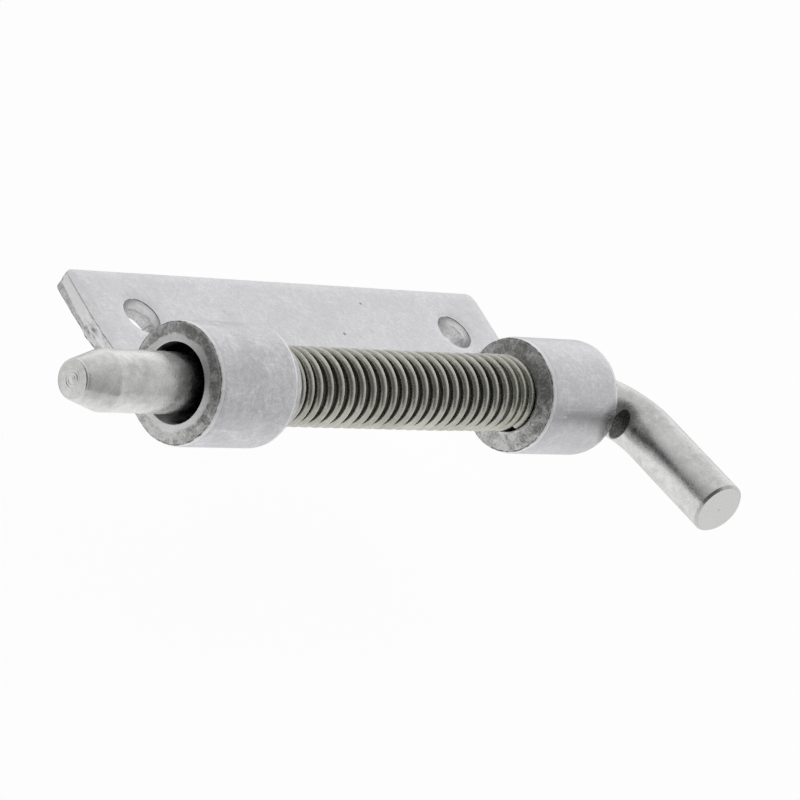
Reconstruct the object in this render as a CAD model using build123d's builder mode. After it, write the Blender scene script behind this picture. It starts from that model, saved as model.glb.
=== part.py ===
from build123d import *
from math import asin, cos, degrees, hypot, pi, radians, sin, sqrt, tan
import os

# Latch hinge: a sheet-steel leaf whose two ends are rolled into knuckles, and a sprung
# round bolt that slides and turns in them, with a coned nose and a bent handle.
# X runs along the bolt from nose to handle, Y from the bolt to the leaf's free edge and
# Z out of the leaf's front face. The origin is midway between the two screw holes, on
# the leaf's back face.

# Leaf
sheet = 3.0
leaf_length = 82.0
leaf_reach = 23.8            # bolt axis to the free edge
leaf_corner = 1.5
knuckle_length = 15.2
leaf_set = 0.3               # the flat's back lies this much behind the knuckles
set_line = 14.0              # bolt axis to the line where the set ends
seam_gap = 0.3               # rolled edge to the leaf's front face
notch_room = 3.2             # washer's rim to the edge of the gap between the knuckles
notch_corner = 1.5
screw_hole = 5.8
screw_inset = 9.2            # leaf's end to a screw hole
screw_edge = 7.6             # leaf's free edge to the screw holes

# Bolt
rod = 8.0                    # bar that the bolt is made from
shank_relief = 0.16          # depth that the bar behind the nose is turned down
shank_taper = 3.0            # length over which the nose runs down to the shank
nose_reach = 18.3            # nose tip to the left knuckle's face
nose_cone = 4.9
nose_tip = 5.2
handle_gap = 0.4             # right knuckle's face to the start of the bend
handle_bend = 8.1            # radius of the bend's centre line
handle_angle = 95.2
handle_turn = 166.2          # direction of the handle round X, from +Y
handle_straight = 16.8
handle_chamfer = 0.35

# Guide bushes, one pressed into each knuckle
bush_wall = 1.1
bush_chamfer = 0.25
nose_bush_depth = 5.6        # left knuckle's outer face to its bush
handle_bush_depth = 0.8      # right knuckle's outer face to its bush
bush_recess = 0.6            # left knuckle's inner face to its bush
spring_pocket = 5.4          # right knuckle's inner face to its bush

# Retaining ring and washer
ring_thickness = 0.8
ring_width = 2.1
ring_lug = 1.7
ring_lug_rise = 0.2
ring_lug_hole = 0.9
ring_opening = 2.2
groove_depth = 0.2
washer_thickness = 1.0
washer_rim = 1.25            # washer beyond the spring

# Spring
wire = 1.1
body_turns = 19.0
left_end_turns = 2.7
right_end_turns = 2.2
end_pitch = 1.68
wire_end_angle = 197.0       # where the wire ends against the right knuckle, round X
rim_lap = 0.15               # spring beyond the rim of the bore that it bears on

# Clearances
running_fit = 0.06
bush_seat = 0.02
washer_play = 0.1
spring_play = 0.15
ring_seat = 0.05
groove_play = 0.1
face_gap = 0.05

nose_radius = rod / 2
rod_radius = nose_radius - shank_relief
bush_bore = nose_radius + running_fit
bore_radius = nose_radius + bush_wall
knuckle_radius = bore_radius + sheet
spring_radius = max(bore_radius + rim_lap, nose_radius + spring_play + wire)
washer_radius = spring_radius + washer_rim
notch_reach = washer_radius + notch_room
screw_spacing = leaf_length - 2 * screw_inset
pin_y = screw_edge - leaf_reach
pin_z = knuckle_radius + leaf_set
left_face = -leaf_length / 2
right_face = leaf_length / 2
left_inner = left_face + knuckle_length
right_inner = right_face - knuckle_length
end_view = Plane(origin=(0, pin_y, pin_z), x_dir=(0, 1, 0), z_dir=(1, 0, 0))

os.makedirs("parts", exist_ok=True)

# The set is a shallow slope from the set line down to a tangent of the rolled knuckle.
set_angle = asin(pin_z / hypot(set_line, pin_z)) - asin(knuckle_radius / hypot(set_line, pin_z))
set_back = Vector(set_line, -pin_z)
set_front = set_back + Vector(sheet * tan(set_angle / 2), sheet)
roll_start = -90.0 - degrees(set_angle)
roll_end = -degrees(asin((bore_radius - seam_gap) / knuckle_radius))
roll_sweep = -(360.0 + roll_start - roll_end)

# Leaf: the side profile, wrapped round the bore, runs the whole length, and the gap for
# the spring is cut out of its middle.
with BuildPart() as leaf:
    with BuildSketch(end_view.offset(left_face)):
        with BuildLine():
            outside = CenterArc((0, 0), knuckle_radius, roll_start, roll_sweep)
            inside = CenterArc((0, 0), bore_radius, roll_start, roll_sweep)
            Line(outside @ 1, inside @ 1)
            Line(outside @ 0, set_back)
            Line(inside @ 0, set_front)
            Polyline(set_back, (leaf_reach, -pin_z), (leaf_reach, sheet - pin_z), set_front)
        make_face()
    extrude(amount=leaf_length)
    fillet(leaf.edges().filter_by(Axis.Z).group_by(Axis.Y)[-1], radius=leaf_corner)
    with BuildSketch(Plane.XY.offset(-face_gap)):
        with Locations((0, pin_y)):
            Rectangle(right_inner - left_inner, 2 * notch_reach)
        fillet(vertices().group_by(Axis.Y)[-1], radius=notch_corner)
    extrude(amount=pin_z + knuckle_radius + 2 * face_gap, mode=Mode.SUBTRACT)
    with Locations((0, 0, sheet)):
        with GridLocations(screw_spacing, 0, 2, 1):
            Hole(radius=screw_hole / 2, depth=sheet)
leaf.part.label = "leaf"
export_step(leaf.part, "parts/leaf.step")

# Retaining ring, washer and spring stand in this order behind the left knuckle.
ring_start = left_inner + face_gap
washer_start = ring_start + ring_thickness + face_gap
spring_start = washer_start + washer_thickness + face_gap
spring_end = right_inner - face_gap

# Bolt: a turned nose, full size as far as the knuckle's face, then a taper to a slightly
# thinner shank with the ring's groove, and the bent handle.
groove_start = ring_start - groove_play / 2
groove_end = groove_start + ring_thickness + groove_play
groove_radius = rod_radius - groove_depth
bend_start = right_face + handle_gap
nose_start = left_face - nose_reach
nose_end = left_face - face_gap
shank_side = Plane(origin=(0, pin_y, pin_z), x_dir=(1, 0, 0), z_dir=(0, -1, 0))
handle_out = Vector(0, cos(radians(handle_turn)), sin(radians(handle_turn)))
handle_side = Plane(origin=(0, pin_y, pin_z), x_dir=(1, 0, 0), z_dir=Vector(1, 0, 0).cross(handle_out))
with BuildPart() as bolt:
    with BuildSketch(shank_side):
        with BuildLine():
            Polyline(
                (nose_start, 0),
                (nose_start, nose_tip / 2),
                (nose_start + nose_cone, nose_radius),
                (nose_end, nose_radius),
                (nose_end + shank_taper, rod_radius),
                (groove_start, rod_radius),
                (groove_start, groove_radius),
                (groove_end, groove_radius),
                (groove_end, rod_radius),
                (bend_start, rod_radius),
                (bend_start, 0),
                close=True,
            )
        make_face()
    revolve(axis=Axis((0, pin_y, pin_z), (1, 0, 0)))
    with BuildLine(handle_side) as handle_path:
        bend = JernArc(start=(bend_start, 0), tangent=(1, 0), radius=handle_bend, arc_size=handle_angle)
        PolarLine(bend @ 1, handle_straight, angle=handle_angle)
    with BuildSketch(end_view.offset(bend_start)):
        Circle(rod_radius)
    sweep(path=handle_path.line)
    handle_end = bolt.faces().filter_by(GeomType.PLANE).sort_by(Axis.Y)[0]
    chamfer(handle_end.edges(), length=handle_chamfer)
bolt.part.label = "bolt"
export_step(bolt.part, "parts/bolt.step")

# Retaining ring: an open ring in the groove, with two drilled lugs beside its opening.
ring_inner = groove_radius + ring_seat
ring_outer = ring_inner + ring_width
with BuildPart() as retaining_ring:
    with BuildSketch(end_view.offset(ring_start)):
        Circle(ring_outer)
        Circle(ring_inner, mode=Mode.SUBTRACT)
        with Locations((0, -(ring_inner + ring_outer) / 2)):
            Rectangle(ring_opening, ring_outer, mode=Mode.SUBTRACT)
        lug_ring = ring_outer + ring_lug_rise - ring_lug / 2
        with PolarLocations(lug_ring, 2, start_angle=-108, angular_range=36, endpoint=True):
            Circle(ring_lug / 2)
            Circle(ring_lug_hole / 2, mode=Mode.SUBTRACT)
    extrude(amount=ring_thickness)
retaining_ring.part.label = "retaining_ring"
export_step(retaining_ring.part, "parts/retaining_ring.step")

# Washer: carries the spring's left end and slides along with the bolt.
with BuildPart() as washer:
    with BuildSketch(end_view.offset(washer_start)):
        Circle(washer_radius)
        Circle(nose_radius + washer_play, mode=Mode.SUBTRACT)
    extrude(amount=washer_thickness)
washer.part.label = "washer"
export_step(washer.part, "parts/washer.step")

# Guide bushes: wide enough for the nose, which passes both when the bolt goes in.
bush_spans = {
    "nose_bush": (left_face + nose_bush_depth, left_inner - bush_recess),
    "handle_bush": (right_inner + spring_pocket, right_face - handle_bush_depth),
}
for bush_name, (bush_start, bush_end) in bush_spans.items():
    with BuildPart() as bush:
        with BuildSketch(end_view.offset(bush_start)):
            Circle(bore_radius - bush_seat)
            Circle(bush_bore, mode=Mode.SUBTRACT)
        extrude(amount=bush_end - bush_start)
        chamfer(bush.edges().filter_by(GeomType.CIRCLE).group_by(SortBy.RADIUS)[-1], length=bush_chamfer)
    bush.part.label = bush_name
    export_step(bush.part, f"parts/{bush_name}.step")

# Spring: one round wire, wound right-handed round the rod, with closer turns at its ends.
coil_radius = spring_radius - wire / 2
spring_turns = left_end_turns + body_turns + right_end_turns
first_x = spring_start + wire / 2
last_x = spring_end - wire / 2
body_pitch = (last_x - first_x - (left_end_turns + right_end_turns) * end_pitch) / body_turns


def wire_x(turn):
    """Place along X of the wire's centre, as its distance from the left end in turns."""
    left_end = min(turn, left_end_turns) * end_pitch
    body = min(max(turn - left_end_turns, 0.0), body_turns) * body_pitch
    right_end = max(turn - left_end_turns - body_turns, 0.0) * end_pitch
    return first_x + left_end + body + right_end


def wire_point(turn):
    """The wire's centre at a turn: a circle of the coil radius, carried along X."""
    angle = radians(wire_end_angle) + 2 * pi * (turn - spring_turns)
    return Vector(wire_x(turn), pin_y + coil_radius * cos(angle), pin_z + coil_radius * sin(angle))


def wire_direction(turn):
    """Unit tangent: round the circle, and along X at the mean pitch of a quarter turn either way."""
    angle = radians(wire_end_angle) + 2 * pi * (turn - spring_turns)
    rise = (wire_x(turn + 0.25) - wire_x(turn - 0.25)) / 0.5
    around = 2 * pi * coil_radius
    return Vector(rise, -around * sin(angle), around * cos(angle)).normalized()


def biarc_middle(start, start_way, end, end_way):
    """Joint of two arcs that leave start and reach end along the given ways, and the way there."""
    span = end - start
    ways = start_way + end_way
    spread = 2 * (1 - start_way.dot(end_way))
    reach = (-span.dot(ways) + sqrt(span.dot(ways) ** 2 + spread * span.dot(span))) / spread
    joint = (start + end + (start_way - end_way) * reach) * 0.5
    way = ((end - end_way * reach) - (start + start_way * reach)).normalized()
    return joint, way


span_count = round(2 * spring_turns)
wire_stops = [spring_turns * i / span_count for i in range(span_count + 1)]
with BuildPart() as spring:
    with BuildLine() as coil:
        for here, there in zip(wire_stops, wire_stops[1:]):
            start, end = wire_point(here), wire_point(there)
            middle, way = biarc_middle(start, wire_direction(here), end, wire_direction(there))
            TangentArc(start, middle, tangent=wire_direction(here))
            TangentArc(middle, end, tangent=way)
    with BuildSketch(Plane(origin=wire_point(0), z_dir=wire_direction(0))):
        Circle(wire / 2)
    sweep(path=coil.line)
spring.part.label = "spring"
export_step(spring.part, "parts/spring.step")

# The turns' least gap, on points of the centre line that are half a turn or more apart.
points_per_turn = 36
samples = [wire_point(i / points_per_turn) for i in range(int(spring_turns * points_per_turn) + 1)]
coil_gap = min(
    (samples[i] - samples[j]).length - wire
    for i in range(len(samples))
    for j in range(i + points_per_turn // 2, min(i + 3 * points_per_turn // 2, len(samples)))
)
print(f"spring: {spring_turns:.1f} turns, body pitch {body_pitch:.3f} mm, least gap {coil_gap:.2f} mm")
wire_length = sum(edge.length for edge in coil.edges())
print(f"spring volume {spring.part.volume:.1f} mm3, section times length {pi * wire**2 / 4 * wire_length:.1f} mm3")
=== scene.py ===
import bpy
import numpy as np
from mathutils import Matrix, Vector
from mathutils.geometry import delaunay_2d_cdt


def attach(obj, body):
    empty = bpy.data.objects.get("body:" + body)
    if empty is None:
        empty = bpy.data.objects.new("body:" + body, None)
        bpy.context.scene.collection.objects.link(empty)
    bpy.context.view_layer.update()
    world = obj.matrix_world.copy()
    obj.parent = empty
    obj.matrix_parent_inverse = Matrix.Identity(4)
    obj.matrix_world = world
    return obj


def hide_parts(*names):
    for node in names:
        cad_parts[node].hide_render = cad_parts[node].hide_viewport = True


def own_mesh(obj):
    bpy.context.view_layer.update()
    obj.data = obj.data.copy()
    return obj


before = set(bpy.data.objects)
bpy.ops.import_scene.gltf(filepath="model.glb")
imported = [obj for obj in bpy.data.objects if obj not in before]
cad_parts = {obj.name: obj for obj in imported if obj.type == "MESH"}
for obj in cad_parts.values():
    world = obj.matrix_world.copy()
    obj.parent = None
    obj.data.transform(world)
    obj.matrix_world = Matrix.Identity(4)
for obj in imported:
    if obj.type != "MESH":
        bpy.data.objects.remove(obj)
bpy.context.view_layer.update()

# Lengths are in millimetres and turned into metres when a mesh is made. Materials and studio are in metres.
# X runs along the bolt, Y from the bolt to the leaf's free edge, Z out of the leaf's front.
perMetre = 1000.0
pinY, pinZ = -16.2, 8.4          # the bolt's axis
fullTurn = 2 * np.pi
farAway = 9.0                    # a distance from a cut at which none of its marks show


# Shapes

def gridFaces(rows, columns, loopRows=False, loopColumns=False):
    # each face joins four neighbours of a grid whose points are numbered row by row
    row, column = np.meshgrid(
        np.arange(rows if loopRows else rows - 1),
        np.arange(columns if loopColumns else columns - 1),
        indexing="ij",
    )
    row, column = row.ravel(), column.ravel()
    nextRow, nextColumn = (row + 1) % rows, (column + 1) % columns
    corners = (row * columns + column, row * columns + nextColumn,
               nextRow * columns + nextColumn, nextRow * columns + column)
    return np.stack(corners, axis=1)


def fanFaces(ring, hub, forward):
    # triangles from a hub point to each pair of neighbours on a closed ring, wound along it or against it
    following = np.roll(ring, -1)
    hubs = np.full(len(ring), hub)
    return np.stack((hubs, ring, following) if forward else (hubs, following, ring), axis=1)


def rodFaces(rings, sides):
    # a grid that is closed round its sides, with a fan at each end; the two hub points are numbered last
    ring = np.arange(sides)
    hub = rings * sides
    return [gridFaces(rings, sides, loopColumns=True), fanFaces(ring, hub, False),
            fanFaces((rings - 1) * sides + ring, hub + 1, True)]


def spokesRound(first, second, sides):
    # at each point of a path, even directions round it: the first by the cosine, the second by the sine
    angle = np.arange(sides) * fullTurn / sides
    return first[:, None] * np.cos(angle)[None, :, None] + second[:, None] * np.sin(angle)[None, :, None]


def ease(value, low, high):
    # smooth step from 0 at low to 1 at high: 3t^2 - 2t^3 of the clipped share t
    share = np.clip((value - low) / (high - low), 0.0, 1.0)
    return share * share * (3.0 - 2.0 * share)


def softNoise(u, v, periodU, seed, periodV=64):
    # value noise: random heights on a whole-number lattice, blended by smooth steps,
    # and the same again after its period along u and v; it lies between -1 and 1
    heights = np.random.default_rng(seed).uniform(-1, 1, (periodU, periodV))
    cellU, cellV = np.floor(u).astype(int), np.floor(v).astype(int)
    shareU, shareV = ease(u - cellU, 0, 1), ease(v - cellV, 0, 1)
    here, onward = cellU % periodU, (cellU + 1) % periodU
    low, high = cellV % periodV, (cellV + 1) % periodV
    return ((heights[here, low] * (1 - shareU) + heights[onward, low] * shareU) * (1 - shareV)
            + (heights[here, high] * (1 - shareU) + heights[onward, high] * shareU) * shareV)


def addPiece(name, points, faces, body, replaced, material, marks=None, sharpAngle=40.0):
    # points in millimetres, faces as a list of index arrays; marks are numbers kept at each point
    mesh = bpy.data.meshes.new(name)
    mesh.from_pydata((points / perMetre).tolist(), [], [face for part in faces for face in part.tolist()])
    mesh.validate()
    mesh.polygons.foreach_set("use_smooth", np.ones(len(mesh.polygons), bool))
    mesh.set_sharp_from_angle(angle=np.radians(sharpAngle))
    for markName, values in (marks or {}).items():
        values = np.asarray(values, np.float32)
        mark = mesh.attributes.new(markName, "FLOAT" if values.ndim == 1 else "FLOAT_VECTOR", "POINT")
        mark.data.foreach_set("value" if values.ndim == 1 else "vector", values.ravel())
    mesh.materials.append(material)
    mesh.update()
    piece = bpy.data.objects.new(name, mesh)
    bpy.context.scene.collection.objects.link(piece)
    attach(piece, body)
    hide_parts(replaced)
    triangleCount = sum(len(part) * (part.shape[1] - 2) for part in faces)
    print(f"{name}: {len(points)} points, {triangleCount} triangles")
    return piece


# Materials

mostOfNoise = (0.3, 0.7)         # the range that most of a noise lies in
allOfNoise = (0.2, 0.8)          # the range that nearly all of it lies in
lineNoise = (1.0, 2.0, 0.5, 0.4)     # scale, detail, roughness, distortion of the noise in thin marks


def addNode(tree, kind, settings=None, **inputs):
    # settings are the node's own fields; an input is a number, a colour or another node's socket,
    # and its key is the socket's name, or its place after an underscore
    made = tree.nodes.new(kind)
    for field, value in (settings or {}).items():
        setattr(made, field, value)
    for key, value in inputs.items():
        socket = made.inputs[int(key[1:]) if key[1:].isdigit() else key.replace("_", " ")]
        if isinstance(value, bpy.types.NodeSocket):
            tree.links.new(value, socket)
        else:
            socket.default_value = value
    return made


def emptyMaterial(name):
    # a material with no nodes, and its node tree
    material = bpy.data.materials.new(name)
    material.use_nodes = True
    material.node_tree.nodes.clear()
    return material, material.node_tree


def objectPosition(tree):
    # the shaded point's place in its object, in metres
    return addNode(tree, "ShaderNodeTexCoord").outputs["Object"]


def finishSurface(tree, colour, metallic, roughness, normal):
    # the shader and the output that end each piece's material
    shader = addNode(tree, "ShaderNodeBsdfPrincipled", Base_Color=colour, Metallic=metallic,
                     Roughness=roughness, Normal=normal)
    addNode(tree, "ShaderNodeOutputMaterial", Surface=shader.outputs[0])


def stretched(tree, position, scale, turn=(0, 0, 0)):
    # the position, turned and then scaled along each axis
    return addNode(tree, "ShaderNodeMapping", Vector=position, Rotation=turn, Scale=scale).outputs[0]


def noise(tree, position, scale, detail, roughness, distortion=0.0):
    # cloudy values round 0.5, finer by the scale
    return addNode(tree, "ShaderNodeTexNoise", Vector=position, Scale=scale, Detail=detail,
                   Roughness=roughness, Distortion=distortion).outputs["Fac"]


def noises(tree, position, wanted):
    # one noise for each entry, in the order of the entries
    return [noise(tree, position, *values) for values in wanted.values()]


def remap(tree, value, fromLow, fromHigh, toLow=0.0, toHigh=1.0, kind="LINEAR"):
    # carries the first range over to the second, clipped at its ends
    return addNode(tree, "ShaderNodeMapRange", {"interpolation_type": kind}, _0=value, _1=fromLow,
                   _2=fromHigh, _3=toLow, _4=toHigh).outputs[0]


def calc(tree, operation, first, second=0.0, clamp=False):
    # the named operation on two numbers, held between 0 and 1 if clamp is set
    settings = {"operation": operation, "use_clamp": clamp}
    return addNode(tree, "ShaderNodeMath", settings, _0=first, _1=second).outputs[0]


def plus(tree, first, second, clamp=False):
    # the two added up
    return calc(tree, "ADD", first, second, clamp)


def times(tree, first, second):
    # the one multiplied by the other
    return calc(tree, "MULTIPLY", first, second)


def mixed(tree, first, second, share):
    # the share of the second, and the rest of the first
    return plus(tree, times(tree, first, 1 - share), times(tree, second, share))


def swing(tree, value, reach):
    # a noise as a number between minus and plus the reach
    return remap(tree, value, *allOfNoise, -reach, reach)


def blend(tree, share, under, over):
    # the colour under, or the one over it where the share is 1
    return addNode(tree, "ShaderNodeMix", {"data_type": "RGBA"}, _0=share, _6=under, _7=over).outputs[2]


def markValue(tree, name, output="Fac"):
    # one of the numbers or vectors that a mesh keeps at its points
    return addNode(tree, "ShaderNodeAttribute", {"attribute_name": name}).outputs[output]


def vectorCalc(tree, operation, first, second=(0, 0, 0), output="Vector"):
    # the named operation on two vectors; its output is Value where the answer is a number
    settings = {"operation": operation}
    return addNode(tree, "ShaderNodeVectorMath", settings, _0=first, _1=second).outputs[output]


def lines(tree, position, turn, scale, low, high):
    # thin marks: noise drawn out along one direction, and only its peaks kept
    drawn = noise(tree, stretched(tree, position, scale, turn), *lineNoise)
    return remap(tree, drawn, low, high)


def overlap(tree, first, second, ranges):
    # how far the first value is into its range, times how far the second is into its own
    return times(tree, remap(tree, first, *ranges[0]), remap(tree, second, *ranges[1]))


def bump(tree, height, depth, under=None):
    # depth is the bump's height in metres for a height of 1
    made = addNode(tree, "ShaderNodeBump", Height=height, Distance=depth, Strength=1.0)
    if under is not None:
        tree.links.new(under, made.inputs["Normal"])
    return made.outputs[0]


darkOval = {                  # a dark oval spot across the inside of the bend and the knuckle's end beside it
    "centre": (0.0451, -0.0221, 0.0098),
    "through": (0.760, 0.425, -0.492),
    "long": (0.293, 0.454, 0.845),
    "short": (0.582, -0.786, 0.221),
    "halfLong": 0.0023,
    "halfShort": 0.00114,
    "onKnuckle": (-0.0075, -0.0030),     # from and to, through the mark
    "onHandle": (-0.0035, 0.0026),
    "fade": 0.0004,              # beyond those ends
    "darkReflection": {"soft": 0.95, "shift": -0.0009, "grow": 1.45},    # the painted dark reflection of the spot on the knuckle round it
}


def darkOvalSpot(tree, position, ends, soft=0.12, shift=0.0, grow=1.0):
    # an ellipse across the mark's through direction, between two distances along it
    away = vectorCalc(tree, "SUBTRACT", position, darkOval["centre"])
    along, aside, deep = [vectorCalc(tree, "DOT_PRODUCT", away, darkOval[way], "Value")
                          for way in ("long", "short", "through")]
    along = calc(tree, "DIVIDE", along, darkOval["halfLong"] * grow)
    aside = calc(tree, "DIVIDE", calc(tree, "SUBTRACT", aside, shift), darkOval["halfShort"] * grow)
    reach = plus(tree, times(tree, along, along), times(tree, aside, aside))
    spot = remap(tree, reach, 1 - soft, 1 + soft, 1.0, 0.0, "SMOOTHSTEP")
    near, far = ends
    half = (far - near) / 2
    level = calc(tree, "ABSOLUTE", calc(tree, "SUBTRACT", deep, (near + far) / 2))
    return times(tree, spot, remap(tree, level, half, half + darkOval["fade"], 1.0, 0.0))


sheetFinish = {
    "pale": (0.785, 0.785, 0.805, 1),
    "dull": (0.615, 0.615, 0.64, 1),
    "fresh": (0.90, 0.90, 0.915, 1),        # the leaf, which wasn't rolled
    "frost": (0.93, 0.93, 0.935, 1),        # rubbed and chalky places
    # stains, and the painted shade along the crease beside a cut
    "stain": (0.46, 0.46, 0.47, 1),
    "broken": (0.29, 0.29, 0.283, 1),       # torn part of a cut edge
    "brokenPale": (0.78, 0.78, 0.77, 1),
    "sheared": (0.63, 0.63, 0.625, 1),      # smooth part of a cut edge
    "deepShade": (0.035, 0.033, 0.03, 1),    # painted shade deep inside the knuckles; the dark nick at the left corner takes it too
    "darkSpot": (0.075, 0.075, 0.07, 1),
    "burrAndShadeLine": (0.16, 0.16, 0.155, 1),         # the thin raised line at a cut's back corner, and the painted shade line on one side of each hole's front corner
    "roughness": (0.36, 0.46),
    "tornRoughness": 0.06,       # added on torn metal
    "noises": {                  # scale, detail, roughness, distortion
        "clouds": (110.0, 5.0, 0.62, 0.3),
        "patches": (420.0, 4.0, 0.65, 0.5),
        "specks": (1500.0, 3.0, 0.6),
        "grain": (4200.0, 2.0, 0.6),
        "winding": (620.0, 2.0, 0.5, 1.2),
    },
    "tears": ((3.1, 2.4, 1.0), (1.0, 5.0, 0.72, 0.8)),   # stretch along and down the cut, then the noise
    "blotches": ((0.42, 0.5, 1.0), (1.0, 3.0, 0.55, 0.4)),
    "blotchShare": 0.45,
    "patchShare": 0.5,           # of the patches, and the rest of the clouds
    "pitScale": 150.0,
    "scuffs": (                  # turn, scale, and the peaks from none to all
        ((0.4, 0.2, 0.6), (170, 2300, 1500), 0.60, 0.72),
        ((0.9, 0.1, -0.7), (260, 3000, 2200), 0.64, 0.74),
    ),
    "ranges": {                  # of one value or of two, from none of the mark to all of it
        "pale": (0.37, 0.63),
        "scuffs": (0.45, 0.62),
        "chalk": ((0.50, 0.66), (0.50, 0.64)),
        "winding": ((0.004, 0.022, 1.0, 0.0), (0.50, 0.60)),
        "rim": ((0.80, 1.15, 1.0, 0.0), (0.3, 0.55, 0.6, 1.0)),      # the first in mm from the cut
        "burrAndShadeLine": ((0.05, 0.17, 1.0, 0.0), (0.3, 0.5, 0.4, 0.95)),     # and this one's
        "crease": ((0.03, 0.10, 0.5, 0.0), (0.42, 0.56)),            # the first in mm from its line
        "stains": ((0.36, 0.26), (0.5, 0.4)),
        "pits": (0.030, 0.045, 0.75, 0.0),
        "brokenPale": (0.425, 0.59),
        # painted light and shade on the torn scales, by how far they lean down
        "lightAndShadeByLean": (-0.45, 0.45, 0.32, -0.22),
        "shearedPale": (0.35, 0.7),
        "darkReflection": (0.35, 0.6, 0.35, 0.9),
    },
    "creaseAway": 1.05,          # from a cut to the crease beside it, along which shade is painted, in mm
    "strength": {"fresh": 0.38, "freshCut": 0.6, "scuffs": 0.75, "chalk": 0.55, "stains": 0.6},
    "swings": {"specks": 0.15, "grain": 0.13, "edge": 0.14},     # how far small noises shift a value
    "heights": {"grain": 0.8, "torn": 3.5, "scuffs": 0.6},       # in the bump, beside the specks' 1
    "bumpDepth": 0.000036,
}


def sheetSkin(tree, position, fresh, edgeAway):
    # dull and pale zinc by a mix of noises, under scuffs, chalk, stains and pits, and what a cut leaves
    # beside it: a jagged burr at its back corner, a paler band and painted shade along a faint crease; gives
    # the colour, how much burr, painted shade line and scuff there is, and the noises that the bump and the
    # roughness use again
    ranges, strength, swings = [sheetFinish[key] for key in ("ranges", "strength", "swings")]
    clouds, patches, specks, grain, winding = noises(tree, position, sheetFinish["noises"])
    mix = mixed(tree, clouds, patches, sheetFinish["patchShare"])
    mix = plus(tree, mix, swing(tree, specks, swings["specks"]))
    mix = plus(tree, mix, swing(tree, grain, swings["grain"]))
    skin = blend(tree, remap(tree, mix, *ranges["pale"]), sheetFinish["dull"], sheetFinish["pale"])
    skin = blend(tree, times(tree, fresh, strength["fresh"]), skin, sheetFinish["fresh"])

    scuffs = calc(tree, "MAXIMUM", *[lines(tree, position, *values) for values in sheetFinish["scuffs"]])
    scuffs = times(tree, scuffs, remap(tree, patches, *ranges["scuffs"]))
    # thin winding marks are the places where a noise crosses its middle
    winding = calc(tree, "ABSOLUTE", calc(tree, "SUBTRACT", winding, 0.5))
    scuffs = calc(tree, "MAXIMUM", scuffs, overlap(tree, winding, clouds, ranges["winding"]))
    chalk = overlap(tree, specks, patches, ranges["chalk"])
    ragged = plus(tree, edgeAway, swing(tree, specks, swings["edge"]))
    crease = calc(tree, "ABSOLUTE", calc(tree, "SUBTRACT", ragged, sheetFinish["creaseAway"]))
    stains = overlap(tree, patches, specks, ranges["stains"])
    skin = blend(tree, times(tree, scuffs, strength["scuffs"]), skin, sheetFinish["frost"])
    skin = blend(tree, times(tree, chalk, strength["chalk"]), skin, sheetFinish["frost"])
    skin = blend(tree, overlap(tree, ragged, specks, ranges["rim"]), skin, sheetFinish["frost"])
    # painted shade along the crease beside a cut
    skin = blend(tree, overlap(tree, crease, patches, ranges["crease"]), skin, sheetFinish["stain"])
    skin = blend(tree, times(tree, stains, strength["stains"]), skin, sheetFinish["stain"])
    pits = addNode(tree, "ShaderNodeTexVoronoi", Vector=position, Scale=sheetFinish["pitScale"])
    skin = blend(tree, remap(tree, pits.outputs["Distance"], *ranges["pits"]), skin, sheetFinish["darkSpot"])
    return skin, overlap(tree, ragged, patches, ranges["burrAndShadeLine"]), scuffs, patches, specks, grain


def cutFace(tree, torn, fresh, lean):
    # the two looks of a cut, mixed by how torn it is: a smooth sheared part, and a torn part of dark
    # and pale scales; gives the colour and the noise of the tears
    ranges = sheetFinish["ranges"]
    edgeWay = markValue(tree, "edgeWay", "Vector")
    tears, blotches = [noise(tree, stretched(tree, edgeWay, stretch), *values)
                       for stretch, values in (sheetFinish["tears"], sheetFinish["blotches"])]
    scales = remap(tree, mixed(tree, tears, blotches, sheetFinish["blotchShare"]), *ranges["brokenPale"])
    # painted light and shade: the scales that lean down are paler, the ones that lean up darker
    lightAndShadeByLean = addNode(tree, "ShaderNodeSeparateXYZ", Vector=lean).outputs["Z"]
    scales = plus(tree, scales, remap(tree, lightAndShadeByLean, *ranges["lightAndShadeByLean"]), True)
    tornLook = blend(tree, scales, sheetFinish["broken"], sheetFinish["brokenPale"])
    smooth = remap(tree, tears, *ranges["shearedPale"])
    shearLook = blend(tree, smooth, sheetFinish["sheared"], sheetFinish["pale"])
    freshShare = times(tree, fresh, sheetFinish["strength"]["freshCut"])
    shearLook = blend(tree, freshShare, shearLook, sheetFinish["frost"])
    return blend(tree, torn, shearLook, tornLook), tears


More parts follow.
